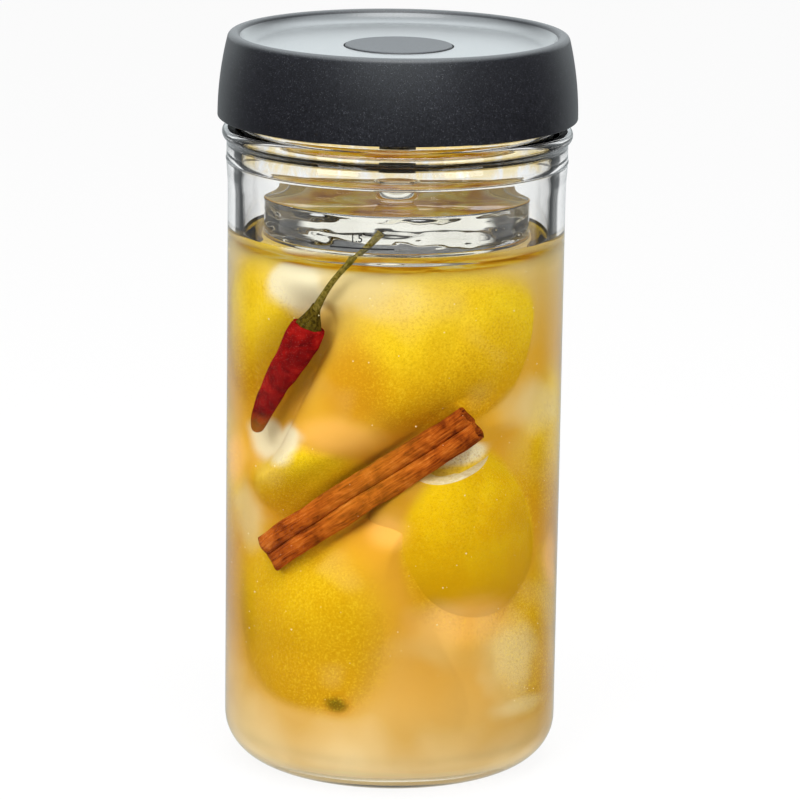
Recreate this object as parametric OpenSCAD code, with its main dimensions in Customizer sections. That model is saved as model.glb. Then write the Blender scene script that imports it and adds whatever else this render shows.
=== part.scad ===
// Fermentation jar: a glass jar with a screw lid, a push-button vent valve in the lid
// and a glass weight that holds the filling under the brine.
// Millimetres, +Z up, origin at the middle of the base. Every piece is round about the Z axis.

/* [Glass jar] */
// Outer diameter of the body
jar_d = 114; // [102:0.5:128]
// Height of the glass up to the rim of the mouth
jar_h = 240; // [200:1:280]
// Wall thickness of the body
wall = 5.2; // [3.5:0.1:7]
// Thickness of the floor
floor_t = 5.5; // [4:0.5:12]
// Radius of the outer corner at the foot
foot_r = 15; // [8:0.5:20]
// Radius of the inner corner at the floor
inner_foot_r = 10; // [6:0.5:18]
// Hollow of the underside inside the standing ring
punt_h = 1.5; // [0.5:0.1:3]
// Width of the flat standing ring
stand_w = 5; // [3:0.5:10]
// Radial step from the body in to the threaded neck
neck_step = 3.8; // [2.5:0.1:5]
// Wall thickness of the neck
neck_wall = 4.4; // [3.5:0.1:7]
// Radius of the fillet between the neck and the bead
neck_fillet = 1; // [0.5:0.1:1.5]
// Radius of the round edges of the rim
rim_edge_r = 1.5; // [0.8:0.1:2.2]

/* [Bead and collar] */
// Height of the bead under the lid
bead_h = 5; // [4:0.1:7]
// How far the bead stands out from the body
bead_out = 2; // [1.2:0.1:3.5]
// Free height between the bead and the lid
bead_gap = 2.9; // [2:0.1:7]
// Height of the collar from the bead down to its ring
collar_h = 6.5; // [4:0.1:10]
// How far the collar stands out from the body
collar_out = 0.45; // [0.3:0.05:1.2]
// How far the ring stands out from the collar
ring_out = 0.25; // [0.1:0.05:0.6]
// Height over which the collar fades into the body
fade_h = 9; // [5:0.5:12]
// Height from the middle of the bead up to where the bore begins to open
throat_up = 15; // [12:0.5:18]
// Height over which the bore opens from the neck to the body
throat_h = 26; // [18:0.5:30]

/* [Lid] */
// Overall height of the lid cover
cover_h = 28.1; // [24:0.2:34]
// Wall thickness of the cover's skirt
cover_wall = 2.1; // [1.6:0.1:3]
// Curvature radius of the convex skirt, seen in section
crown_r = 112; // [85:1:180]
// Radius of the round outer edge of the rim
rim_round = 2; // [1:0.1:2.6]
// Width of the flat on top of the rim
rim_flat = 0.6; // [0.2:0.1:2]
// Height of the rim above the top panel
rim_h = 4.3; // [3.4:0.1:5]
// Radius of the convex inner edge of the rim
rim_inner_r = 1.6; // [1:0.1:2.6]
// Radius of the soft hollow between the panel and the rim
rim_hollow_r = 7; // [4:0.5:10]
// Thickness of the top panel
panel_t = 2.3; // [1.8:0.1:3]
// Height of the snap lip that holds the inner cap in the cover
lip_h = 0.8; // [0.6:0.1:1.4]
// Wall thickness of the inner cap
insert_wall = 1.6; // [1.3:0.1:2.4]
// Thickness of the inner cap's top plate
plate_t = 1.9; // [1.5:0.1:3]
// Chamfer on the inner cap's shoulder
shoulder_c = 1.2; // [0.8:0.1:2]
// Depth of the thread between the neck and the inner cap
thread_depth = 1.1; // [0.8:0.1:1.6]
// Height of the rib that centres the inner cap in the mouth
rib_h = 3.6; // [2:0.1:6]
// Radial room between that rib and the mouth
rib_room = 0.8; // [0.4:0.1:2]
// Thickness of that rib
rib_t = 1.4; // [1:0.1:2]
// Thickness of the silicone seal on the rim of the glass
seal_t = 2; // [1.5:0.1:3]

/* [Vent valve] */
// Diameter of the push button
button_d = 36.2; // [30:0.2:42]
// Thickness of the push button
button_t = 2.3; // [1.8:0.1:3]
// How far the button stands above the panel
button_proud = 0.4; // [0.2:0.1:1]
// Gap round the button
button_gap = 0.35; // [0.3:0.05:0.8]
// Height of the skirt under the button
button_skirt_h = 3.1; // [2:0.1:5]
// Wall thickness of that skirt
button_wall = 1.4; // [1:0.1:2]
// Overhang of the button past that skirt
button_over = 1; // [0.6:0.1:2]
// Diameter of the boss under the button and of the guide below it
boss_d = 9; // [8:0.1:10]
// Travel of the button
travel = 2.5; // [1.5:0.1:4]
// Free height left between the boss and the guide at full travel
stop_gap = 0.8; // [0.4:0.1:2]
// Depth of the well below the top plate
well_depth = 20; // [19:0.5:24]
// Wall and floor thickness of the well
well_wall = 1.6; // [1.2:0.1:2.4]
// Radial step from the panel's hole out to the well
well_step = 0.8; // [0.4:0.1:2]
// Thickness of the gasket under the housing's flange
gasket_t = 1; // [0.8:0.1:2]
// Diameter of the housing's flange
flange_d = 27; // [22:0.5:30]
// Thickness of that flange
flange_t = 2; // [1.5:0.1:3]
// Height of the guide collar above the flange
guide_h = 5.5; // [4:0.5:6]
// Outer diameter of the housing's tube
tube_d = 12.1; // [11.4:0.1:14]
// Bore of the housing's tube
bore_d = 6.8; // [5.6:0.1:7.2]
// Length of the tube below the floor of the well
tube_drop = 11.3; // [10:0.1:15]
// Height of the clamping nut
nut_h = 5; // [3:0.1:7]
// Width of that nut across its flats
nut_af = 18; // [17:0.5:22]
// Diameter of the stem's core
stem_d = 3.2; // [2.6:0.1:3.6]
// Thickness of the stem's four fins
fin_t = 1.2; // [0.8:0.1:1.4]
// Diameter of the bulb that holds the plug
bulb_d = 4.2; // [3.8:0.1:4.4]
// Height of that bulb
bulb_h = 0.8; // [0.6:0.1:1]
// Radial taper of the bulb and step of the stem's neck above it
bulb_taper = 0.3; // [0.2:0.1:0.5]
// Diameter of the plug's lip
plug_d = 9.8; // [9.2:0.1:11]
// Thickness of the plug's lip
plug_t = 1.2; // [1:0.1:2]
// Length of the plug's spigot inside the tube
spigot_h = 1.9; // [1.7:0.1:2.1]
// Diameter of the spring's wire
wire_d = 0.9; // [0.6:0.1:1.2]
// Number of turns of the spring
spring_turns = 5.5; // [4:0.5:7]
// Play between the spring and the boss inside it
spring_play = 0.9; // [0.5:0.1:1.5]

/* [Glass weight] */
// Radial room between the weight and the mouth that it passes through
weight_room = 3.6; // [2:0.5:8]
// Thickness of the weight's disc
weight_h = 17; // [12:0.1:22]
// Radius of the weight's lower edge
weight_foot_r = 4; // [2:0.5:6]
// Radius of the weight's upper edge
weight_edge_r = 0.8; // [0.5:0.1:2]
// Height of the knob above the disc
knob_h = 6.3; // [6.2:0.1:9]
// Diameter of the knob
knob_d = 15.5; // [14:0.5:20]
// Diameter of the knob's waist
knob_waist_d = 11.5; // [9:0.1:13]
// Thickness of the knob's head
knob_head_t = 3; // [2.4:0.1:3]
// Radius of the fillet at the foot of the knob
knob_fillet = 1.5; // [1:0.1:1.7]
// Free height between the knob and the valve
knob_clear = 6.4; // [6:0.1:12]

/* [Clearances] */
// Gap between flat faces that seal or rest on each other
seat_gap = 0.05; // [0.02:0.01:0.1]
// Radial gap of pieces that fit into each other
fit_gap = 0.3; // [0.2:0.05:0.5]
// Radial gap of the stem's fins in the bore
run_gap = 0.05; // [0.03:0.01:0.1]

/* [Hidden] */
$fn = 96;
arc_steps = 7;
ease_steps = 8;

// Radii of the jar, the inner cap and the cover
jar_r = jar_d / 2;
bore_r = jar_r - wall;
neck_r = jar_r - neck_step;
mouth_r = neck_r - neck_wall;
collar_r = jar_r + collar_out;
insert_in_r = neck_r + thread_depth + fit_gap;
insert_out_r = insert_in_r + insert_wall;
rib_out_r = mouth_r - rib_room;
hole_r = button_d / 2 + button_gap;
well_in_r = hole_r + well_step;
well_out_r = well_in_r + well_wall;

// Heights of the lid's layers, from the rim of the glass up
seal_z0 = jar_h + seat_gap;
seal_z1 = seal_z0 + seal_t;
plate_z0 = seal_z1 + seat_gap;
plate_z1 = plate_z0 + plate_t;
panel_z1 = plate_z1 + panel_t;
rim_z = panel_z1 + rim_h;
cover_z0 = rim_z - cover_h;
insert_z0 = cover_z0 + lip_h + seat_gap;

// The cover's inner face clears the inner cap's shoulder, and the skirt swells from there down
inner_crown_r = crown_r - cover_wall;
skirt_h = plate_z1 - cover_z0;
swell = inner_crown_r - sqrt(inner_crown_r * inner_crown_r - skirt_h * skirt_h);
cover_in_r = insert_out_r + swell + fit_gap / 2;
crown_x = cover_in_r - inner_crown_r;
rim_a = asin((rim_z - rim_round - cover_z0) / (crown_r - rim_round));
rim_x = crown_x + (crown_r - rim_round) * cos(rim_a);
rim_turn = acos(1 - rim_h / (rim_inner_r + rim_hollow_r));
panel_r = rim_x - rim_flat - (rim_inner_r + rim_hollow_r) * sin(rim_turn);

// The bead, the collar and its ring follow the lower edge of the lid
bead_r = bead_h / 2;
bead_z = cover_z0 - bead_gap - bead_r;
bead_x = jar_r + bead_out - bead_r;
bead_a = acos((collar_r - bead_x) / bead_r);
ring_z = bead_z - bead_r - collar_h;

// Heights of the valve
well_z1 = plate_z1 - well_depth;
well_z0 = well_z1 - well_wall;
flange_z0 = well_z1 + gasket_t;
flange_z1 = flange_z0 + flange_t;
tube_z0 = well_z0 - tube_drop;
button_z1 = panel_z1 + button_proud;
button_z0 = button_z1 - button_t;
guide_z1 = flange_z1 + guide_h;
boss_z0 = guide_z1 + travel + stop_gap;
plug_z1 = tube_z0 - seat_gap;
plug_z0 = plug_z1 - plug_t;
spigot_r = bore_d / 2 - fit_gap;
spigot_z1 = plug_z1 + spigot_h;
bulb_z0 = plug_z1;
bulb_z1 = bulb_z0 + bulb_h;
bulb_neck_r = stem_d / 2 - bulb_taper;
fin_z0 = spigot_z1 + fit_gap;
fin_z1 = guide_z1 - fit_gap;
fin_r = bore_d / 2 - run_gap;
spring_r = boss_d / 2 + spring_play + wire_d / 2;
spring_z0 = flange_z1 + wire_d / 2 + seat_gap;
spring_z1 = button_z0 - wire_d / 2 - seat_gap;

// Heights of the weight, from the valve down
knob_z1 = plug_z0 - knob_clear;
weight_z1 = knob_z1 - knob_h;
weight_z0 = weight_z1 - weight_h;
weight_r = mouth_r - weight_room;

// Points of an arc about c, from angle a0 to angle a1
function arc(c, r, a0, a1, n = arc_steps) =
    [for (i = [0:n]) let (a = a0 + (a1 - a0) * i / n) [c[0] + r * cos(a), c[1] + r * sin(a)]];

// Share of a soft S-shaped step that is done at t
function soft(t) = (1 - cos(180 * t)) / 2;

// Points of a soft step in radius from p to q, upright at both ends
function radius_step(p, q, n = ease_steps) =
    [for (i = [0:n]) [p[0] + (q[0] - p[0]) * soft(i / n), p[1] + (q[1] - p[1]) * i / n]];

// Points of a shallow dome of height h from the axis out to radius r
function dome(r, h, n = arc_steps) = [for (i = [0:n]) [r * i / n, h * (1 - pow(i / n, 2))]];

// A solid of revolution from a list of [radius, height] points
module turned(points) {
    rotate_extrude() polygon(points);
}

// A plain ring
module ring(r_in, r_out, z0, z1) {
    turned([[r_in, z0], [r_out, z0], [r_out, z1], [r_in, z1]]);
}

module glass_jar() {
    stand_r = jar_r - foot_r;
    bead_top = bead_z + bead_r;
    outside = concat(
        dome(stand_r - stand_w, punt_h),
        arc([stand_r, foot_r], foot_r, -90, 0),
        radius_step([jar_r, ring_z - fade_h], [collar_r, ring_z - 2 * ring_out]),
        arc([collar_r, ring_z], ring_out, -60, 60, 4),
        arc([bead_x, bead_z], bead_r, -bead_a, 90, 2 * arc_steps),
        arc([neck_r + neck_fillet, bead_top + neck_fillet], neck_fillet, -90, -180, 4));
    rim = concat(
        arc([neck_r - rim_edge_r, jar_h - rim_edge_r], rim_edge_r, 0, 90),
        arc([mouth_r + rim_edge_r, jar_h - rim_edge_r], rim_edge_r, 90, 180));
    throat_z = bead_z + throat_up;
    inside = concat(
        radius_step([mouth_r, throat_z], [bore_r, throat_z - throat_h]),
        arc([bore_r - inner_foot_r, floor_t + inner_foot_r], inner_foot_r, 0, -90),
        [[0, floor_t]]);
    color("lightcyan", 0.35) turned(concat(outside, rim, inside));
}

module glass_weight() {
    waist_r = knob_waist_d / 2;
    foot_x = waist_r + knob_fillet;
    head_r = knob_head_t / 2;
    waist_z = knob_z1 - knob_head_t - head_r;
    body = concat(
        [[0, weight_z0]],
        arc([weight_r - weight_foot_r, weight_z0 + weight_foot_r], weight_foot_r, -90, 0),
        arc([weight_r - weight_edge_r, weight_z1 - weight_edge_r], weight_edge_r, 0, 90));
    knob = concat(
        arc([foot_x, weight_z1 + knob_fillet], knob_fillet, -90, -180),
        [[waist_r, waist_z]],
        arc([knob_d / 2 - head_r, knob_z1 - head_r], head_r, -60, 90),
        [[0, knob_z1]]);
    color("azure", 0.45) turned(concat(body, knob));
}

module lid_seal() {
    color("gainsboro") ring(rib_out_r + fit_gap, insert_in_r - fit_gap, seal_z0, seal_z1);
}

module lid_cover() {
    edge_r = lip_h / 2;
    bottom = concat(
        [[insert_in_r, cover_z0]],
        arc([cover_in_r + cover_wall - edge_r, cover_z0 + edge_r], edge_r, -90, 0, 4));
    skirt = arc([crown_x, cover_z0], crown_r, asin(2 * edge_r / crown_r), rim_a, 2 * arc_steps);
    rim = concat(
        arc([rim_x, rim_z - rim_round], rim_round, rim_a, 90),
        arc([rim_x - rim_flat, rim_z - rim_inner_r], rim_inner_r, 90, 90 + rim_turn),
        arc([panel_r, panel_z1 + rim_hollow_r], rim_hollow_r, rim_turn - 90, -90));
    underside = concat(
        [[hole_r, panel_z1], [hole_r, plate_z1]],
        arc([crown_x, cover_z0], inner_crown_r, asin(skirt_h / inner_crown_r), asin(lip_h / inner_crown_r)),
        [[insert_in_r, cover_z0 + lip_h]]);
    color("dimgray") turned(concat(bottom, skirt, rim, underside));
}

module screw_insert() {
    tube_hole_r = tube_d / 2 + fit_gap;
    wall_side = [
        [insert_in_r, plate_z0], [insert_in_r, insert_z0], [insert_out_r, insert_z0],
        [insert_out_r, plate_z1 - shoulder_c], [insert_out_r - shoulder_c, plate_z1]];
    well_side = [
        [well_in_r, plate_z1], [well_in_r, well_z1], [tube_hole_r, well_z1],
        [tube_hole_r, well_z0], [well_out_r, well_z0], [well_out_r, plate_z0]];
    rib_side = [
        [rib_out_r - rib_t, plate_z0], [rib_out_r - rib_t, plate_z0 - rib_h],
        [rib_out_r, plate_z0 - rib_h], [rib_out_r, plate_z0]];
    color("darkslategray") turned(concat(wall_side, well_side, rib_side));
}

module valve_housing() {
    guide_r = boss_d / 2;
    color("dimgray") turned([
        [bore_d / 2, tube_z0], [tube_d / 2, tube_z0], [tube_d / 2, flange_z0],
        [flange_d / 2, flange_z0], [flange_d / 2, flange_z1], [guide_r, flange_z1],
        [guide_r, guide_z1], [bore_d / 2, guide_z1]]);
}

module housing_gasket() {
    color("gainsboro") ring(tube_d / 2 + fit_gap, flange_d / 2, well_z1, flange_z0);
}

module housing_nut() {
    color("slategray") translate([0, 0, well_z0 - nut_h]) difference() {
        cylinder(h = nut_h, d = nut_af / cos(30), $fn = 6);
        translate([0, 0, -nut_h]) cylinder(h = 3 * nut_h, d = tube_d);
    }
}

module valve_button() {
    edge_r = button_t / 4;
    button_r = button_d / 2;
    skirt_r = button_r - button_over;
    skirt_z0 = button_z0 - button_skirt_h;
    stem_hole_r = stem_d / 2 + run_gap;
    top = concat(
        [[0, button_z1]],
        arc([button_r - edge_r, button_z1 - edge_r], edge_r, 90, 0),
        [[button_r, button_z0], [skirt_r, button_z0]]);
    skirt = [[skirt_r, skirt_z0], [skirt_r - button_wall, skirt_z0], [skirt_r - button_wall, button_z0]];
    boss = [
        [boss_d / 2, button_z0], [boss_d / 2, boss_z0], [stem_hole_r, boss_z0],
        [stem_hole_r, button_z0], [0, button_z0]];
    color("gray") turned(concat(top, skirt, boss));
}

module valve_stem() {
    top_z = button_z0 - seat_gap;
    color("silver") union() {
        turned([
            [0, bulb_z0], [bulb_d / 2 - bulb_taper, bulb_z0], [bulb_d / 2, bulb_z1], [bulb_neck_r, bulb_z1],
            [bulb_neck_r, fin_z0], [stem_d / 2, fin_z0], [stem_d / 2, top_z], [0, top_z]]);
        for (turn = [0, 90])
            rotate(turn) intersection() {
                translate([-fin_r, -fin_t / 2, fin_z0]) cube([2 * fin_r, fin_t, fin_z1 - fin_z0]);
                cylinder(h = button_z1, r = fin_r);
            }
    }
}

module valve_plug() {
    socket_r = bulb_d / 2 + run_gap;
    socket_z0 = bulb_z0 - run_gap;
    socket_z1 = bulb_z1 + run_gap;
    neck_hole_r = bulb_neck_r + run_gap;
    lip_edge = plug_t / 3;
    outside = concat(
        [[0, plug_z0]],
        arc([plug_d / 2 - lip_edge, plug_z0 + lip_edge], lip_edge, -90, 0, 4),
        [[plug_d / 2, plug_z1], [spigot_r, plug_z1], [spigot_r - bulb_taper, spigot_z1]]);
    socket = [
        [neck_hole_r, spigot_z1], [neck_hole_r, socket_z1], [socket_r, socket_z1],
        [socket_r - bulb_taper, socket_z0], [0, socket_z0]];
    color("darkgray") turned(concat(outside, socket));
}

// Round wire swept along a helix, one closed tube
spring_sides = 8;
spring_rings = round(spring_turns * 16);
function helix(i) = let (t = i / spring_rings, a = 360 * spring_turns * t)
    [spring_r * cos(a), spring_r * sin(a), spring_z0 + (spring_z1 - spring_z0) * t];
function wire_ring(i) = let (
    a = 360 * spring_turns * i / spring_rings,
    rise = (spring_z1 - spring_z0) / (spring_turns * 2 * PI * spring_r),
    out = [cos(a), sin(a), 0],
    up = [sin(a) * rise, -cos(a) * rise, 1] / sqrt(1 + rise * rise))
    [for (k = [0:spring_sides - 1]) let (b = 360 * k / spring_sides)
        helix(i) + wire_d / 2 * (cos(b) * out + sin(b) * up)];
function side_faces(i, k) = let (
    n = spring_sides, p = i * n + k, q = i * n + (k + 1) % n)
    [[p, p + n, q], [q, p + n, q + n]];

module valve_spring() {
    points = [for (i = [0:spring_rings]) each wire_ring(i)];
    last = spring_rings * spring_sides;
    sides = [for (i = [0:spring_rings - 1], k = [0:spring_sides - 1]) each side_faces(i, k)];
    start_cap = [for (k = [1:spring_sides - 2]) [0, k, k + 1]];
    end_cap = [for (k = [1:spring_sides - 2]) [last, last + k + 1, last + k]];
    color("silver") polyhedron(points = points, faces = concat(sides, start_cap, end_cap));
}

// Least gap between neighbouring turns of the spring, measured on its points
one_turn = round(spring_rings / spring_turns);
turn_gaps = [for (i = [0:spring_rings - one_turn], j = [i + one_turn - 3:min(i + one_turn + 3, spring_rings)])
    norm(helix(i) - helix(j)) - wire_d];
echo(spring_least_gap_mm = min(turn_gaps));

glass_jar();
glass_weight();
lid_seal();
lid_cover();
screw_insert();
valve_housing();
housing_gasket();
housing_nut();
valve_button();
valve_stem();
valve_plug();
valve_spring();
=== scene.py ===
import math
import random

import bmesh
import bpy
from mathutils import Matrix, Vector, noise


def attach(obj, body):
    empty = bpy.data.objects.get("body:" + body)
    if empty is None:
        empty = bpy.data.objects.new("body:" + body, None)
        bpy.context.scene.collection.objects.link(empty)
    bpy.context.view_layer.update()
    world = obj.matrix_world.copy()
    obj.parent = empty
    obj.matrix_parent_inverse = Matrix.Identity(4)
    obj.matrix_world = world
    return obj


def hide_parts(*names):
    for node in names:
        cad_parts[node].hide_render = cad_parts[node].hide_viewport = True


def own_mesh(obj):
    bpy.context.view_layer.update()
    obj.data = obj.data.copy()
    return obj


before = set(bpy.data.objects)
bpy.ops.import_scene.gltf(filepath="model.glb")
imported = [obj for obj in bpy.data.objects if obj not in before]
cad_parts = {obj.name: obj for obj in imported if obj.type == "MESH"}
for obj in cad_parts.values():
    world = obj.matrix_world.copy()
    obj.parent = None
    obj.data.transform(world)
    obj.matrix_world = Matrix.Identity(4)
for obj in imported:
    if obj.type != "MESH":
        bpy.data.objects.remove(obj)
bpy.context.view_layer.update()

MM = 0.001
SEGMENTS = 192
scene = bpy.context.scene
scene.view_settings.view_transform = "Standard"

# Sizes of the solids, in millimetres
JAR_R, BORE_R, NECK_R, MOUTH_R = 57.0, 51.8, 53.2, 48.8
JAR_H, FLOOR_T, FOOT_R, INNER_FOOT_R = 240.0, 5.5, 15.0, 10.0
STAND_R, STAND_W, PUNT_H = 42.0, 5.0, 1.5
COLLAR_R, RING_Z, RING_OUT, FADE_H = 57.45, 208.1, 0.25, 9.0
BEAD_R, BEAD_X, BEAD_Z, THROAT_Z, THROAT_H = 2.5, 56.5, 217.1, 232.1, 26.0
NECK_FILLET, RIM_EDGE_R = 1.0, 1.5
COVER_Z0, COVER_LIP, CROWN_R, CROWN_X, COVER_WALL = 222.5, 0.8, 112.0, -51.43, 2.1
PLATE_Z0, PLATE_Z1, PANEL_Z1, RIM_Z = 242.1, 244.0, 246.3, 250.6
RIM_X, RIM_ROUND, RIM_FLAT, RIM_INNER_R = 55.43, 2.0, 0.6, 1.6
RIM_HOLLOW_R, RIM_TURN, PANEL_R = 7.0, 60.0, 47.38
HOLE_R, HOLE_EDGE = 18.45, 0.25
WELL_IN_R, WELL_OUT_R, WELL_Z1, WELL_Z0, WELL_EDGE = 19.25, 20.85, 224.0, 222.4, 0.8
INSERT_IN_R, INSERT_OUT_R, INSERT_Z0, SHOULDER = 54.6, 56.2, 223.35, 1.2
RIB_OUT_R, RIB_T, RIB_H, TUBE_HOLE_R = 48.0, 1.4, 3.6, 6.35
BUTTON_R, BUTTON_Z1, BUTTON_Z0, BUTTON_EDGE = 18.1, 246.7, 244.4, 0.6
SKIRT_OUT_R, SKIRT_IN_R, SKIRT_H = 17.1, 15.7, 3.1
BOSS_R, BOSS_BORE_R, BOSS_Z0, BOSS_EDGE = 4.5, 1.65, 235.8, 0.3
SEAL_R0, SEAL_R1, SEAL_Z0, SEAL_Z1, SEAL_EDGE = 48.3, 54.3, 240.05, 242.05, 0.5
WEIGHT_R, WEIGHT_Z0, WEIGHT_Z1, WEIGHT_FOOT, WEIGHT_EDGE = 45.2, 180.15, 197.15, 4.0, 0.8
KNOB_Z1, KNOB_R, WAIST_R, KNOB_FILLET, HEAD_R = 203.45, 7.75, 5.75, 1.5, 1.5
SPRING_R, SPRING_Z0, SPRING_Z1, WIRE_R, SPRING_TURNS = 5.85, 227.5, 243.9, 0.45, 5.5

# The thread, which the solids leave out. A ridge fades out over THREAD_FADE turns.
THREAD_Z, THREAD_PITCH, THREAD_TURNS, THREAD_HALF, THREAD_FADE = 225.6, 5.0, 1.7, 1.5, 0.06
THREAD_OUT, THREAD_IN = 0.65, 0.55

# The fill mark, in millimetres
NUMBER_SIZE, NUMBER_X, NUMBER_Z, INK_LIFT, INK_SPREAD = 3.5, -13.0, 190.2, 0.04, 0.04
LINE_X0, LINE_LENGTH, LINE_Z0, LINE_Z1, LINE_CUTS = -22.0, 21.5, 187.9, 188.4, 16

# The filling, in millimetres. The cloud's edge is a core that bulges with the fruit behind it.
BRINE_Z = 183.6
CORE_R, CORE_TOP, CORE_EDGE, CORE_GAP, CORE_LOW = 44.5, 177.5, 6.0, 0.6, 48.0
BULGE, SINK = 4.6, 5.0
GLASS_IOR, BRINE_IOR = 1.5, 1.335
JAR_TINT, WEIGHT_TINT = (0.985, 0.992, 0.988, 1.0), (0.975, 0.985, 0.985, 1.0)


def srgb(r, g, b):
    """A colour given as 0 to 255 screen values, in Blender's linear values."""
    def linear(c):
        c /= 255
        return c / 12.92 if c <= 0.04045 else ((c + 0.055) / 1.055) ** 2.4
    return (linear(r), linear(g), linear(b), 1.0)


# Meshes

def clamp(x, low=0.0, high=1.0):
    return max(low, min(high, x))


def soft(t):
    """A share from 0 to 1 that starts and ends gently."""
    return (1 - math.cos(math.pi * clamp(t))) / 2


def arc(cx, cz, r, a0, a1, n):
    """Points of an arc about (cx, cz) from angle a0 to a1, in degrees."""
    steps = [math.radians(a0 + (a1 - a0) * i / n) for i in range(n + 1)]
    return [(cx + r * math.cos(a), cz + r * math.sin(a)) for a in steps]


def run(p, q, n):
    """Points of a straight run from p to q, both ends left out."""
    return [(p[0] + (q[0] - p[0]) * i / n, p[1] + (q[1] - p[1]) * i / n) for i in range(1, n)]


def link(*sections):
    """Joins sections of a profile. The number between two is the steps of the straight run that joins them."""
    points = list(sections[0])
    for n, section in zip(sections[1::2], sections[2::2]):
        points += run(points[-1], section[0], n) + section
    return points


def radius_step(p, q, n):
    """Points from p to q, with a radius that changes gently."""
    return [(p[0] + (q[0] - p[0]) * soft(i / n), p[1] + (q[1] - p[1]) * i / n) for i in range(n + 1)]


def new_object(name, verts, faces, crease=None):
    """A smooth mesh object from points in metres. Edges sharper than crease degrees stay sharp."""
    mesh = bpy.data.meshes.new(name)
    mesh.from_pydata(verts, [], faces)
    bm = bmesh.new()
    bm.from_mesh(mesh)
    bmesh.ops.recalc_face_normals(bm, faces=bm.faces)
    bm.to_mesh(mesh)
    bm.free()
    mesh.shade_smooth()
    if crease:
        mesh.set_sharp_from_angle(angle=math.radians(crease))
    obj = bpy.data.objects.new(name, mesh)
    scene.collection.objects.link(obj)
    return obj


def lathe(name, profile, segments=SEGMENTS, closed=False, form=None, crease=None):
    """Turns a list of (radius, height) in millimetres about Z. form(r, z, angle) may shift a point."""
    verts, rings = [], []
    for r, z in profile:
        if r < 1e-6:
            rings.append([len(verts)])
            verts.append((0, 0, z * MM))
            continue
        rings.append(list(range(len(verts), len(verts) + segments)))
        for i in range(segments):
            a = 2 * math.pi * i / segments
            rr, zz = form(r, z, a) if form else (r, z)
            verts.append((rr * math.cos(a) * MM, rr * math.sin(a) * MM, zz * MM))
    faces = []
    pairs = list(zip(rings, rings[1:])) + ([(rings[-1], rings[0])] if closed else [])
    for lower, upper in pairs:
        for i in range(segments):
            j = (i + 1) % segments
            quad = [ring[k % len(ring)] for ring, k in ((lower, i), (lower, j), (upper, j), (upper, i))]
            face = list(dict.fromkeys(quad))
            if len(face) > 2:
                faces.append(face)
    return new_object(name, verts, faces, crease)


def tube_faces(rows, around):
    """Faces of a body that is built up of rings of points, with both ends capped."""
    faces = []
    for i in range(rows - 1):
        for k in range(around):
            n = (k + 1) % around
            faces.append([i * around + k, i * around + n, (i + 1) * around + n, (i + 1) * around + k])
    return faces + [list(range(around)), list(range((rows - 1) * around, rows * around))]


def wave(x, y, z, size, seed=0.0):
    """Smooth noise from -1 to 1, with bumps about size millimetres across."""
    return noise.noise(Vector((x / size + seed, y / size - seed, z / size + 2 * seed)))


# Material nodes

def put(tree, socket, value):
    """Links a socket to another one, or gives it a fixed value."""
    if isinstance(value, bpy.types.NodeSocket):
        tree.links.new(value, socket)
    else:
        socket.default_value = value


def add(tree, kind, ins=None, **props):
    node = tree.nodes.new("ShaderNode" + kind)
    for key, value in props.items():
        setattr(node, key, value)
    for key, value in (ins or {}).items():
        put(tree, node.inputs[key], value)
    return node


def calc(tree, operation, *values, limit=False):
    ins = dict(enumerate(values))
    return add(tree, "Math", ins, operation=operation, use_clamp=limit).outputs[0]


def times(tree, a, b):
    return calc(tree, "MULTIPLY", a, b)


def vcalc(tree, operation, *values):
    node = add(tree, "VectorMath", dict(enumerate(values)), operation=operation)
    return node.outputs["Value" if operation in ("LENGTH", "DOT_PRODUCT") else "Vector"]


def scaled(tree, vector, factor):
    ins = {0: vector, "Scale": factor}
    return add(tree, "VectorMath", ins, operation="SCALE").outputs["Vector"]


def parts(tree, vector):
    """The X, Y and Z of a vector."""
    return add(tree, "SeparateXYZ", {0: vector}).outputs


def off_axis(tree, where):
    """The part of a position that points away from the axis of the jar."""
    return vcalc(tree, "MULTIPLY", where, (1.0, 1.0, 0.0))


def mix(tree, factor, a, b):
    """The value a where factor is 0, and b where it is 1."""
    return add(tree, "Mix", {0: factor, 2: a, 3: b}).outputs[0]


def blend(tree, factor, a, b):
    """The same with colours."""
    node = add(tree, "Mix", data_type="RGBA")
    for index, value in ((0, factor), (6, a), (7, b)):
        put(tree, node.inputs[index], value)
    return node.outputs[2]


def turned(tree, factor, a, b):
    """The same with normals."""
    node = add(tree, "Mix", data_type="VECTOR")
    for index, value in ((0, factor), (4, a), (5, b)):
        put(tree, node.inputs[index], value)
    return vcalc(tree, "NORMALIZE", node.outputs[1])


def span(tree, value, low, high, to_low=0.0, to_high=1.0):
    """Goes gently from to_low to to_high as value goes from low to high."""
    ins = {"Value": value, "From Min": low, "From Max": high, "To Min": to_low, "To Max": to_high}
    return add(tree, "MapRange", ins, interpolation_type="SMOOTHSTEP").outputs["Result"]


def ramp(tree, value, stops):
    """Colours at places from 0 to 1, given as (place, screen colour)."""
    node = add(tree, "ValToRGB", {"Fac": value})
    points = node.color_ramp.elements
    while len(points) < len(stops):
        points.new(0.5)
    for point, (at, colour) in zip(points, stops):
        point.position, point.color = at, srgb(*colour)
    return node.outputs["Color"]


def grain(tree, where, size, detail=2.0, rough=0.5, distort=0.0):
    """Noise from 0 to 1 with features about size millimetres across."""
    ins = {"Vector": where, "Scale": 1 / size, "Detail": detail, "Roughness": rough, "Distortion": distort}
    return add(tree, "TexNoise", ins).outputs["Fac"]


def cells(tree, where, size):
    """Distance from the middle of cells about size millimetres across."""
    return add(tree, "TexVoronoi", {"Vector": where, "Scale": 1 / size}).outputs["Distance"]


def bump(tree, height, depth, strength):
    """depth is the height of the bumps in millimetres."""
    ins = {"Height": height, "Distance": depth * MM, "Strength": strength}
    return add(tree, "Bump", ins).outputs["Normal"]


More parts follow.
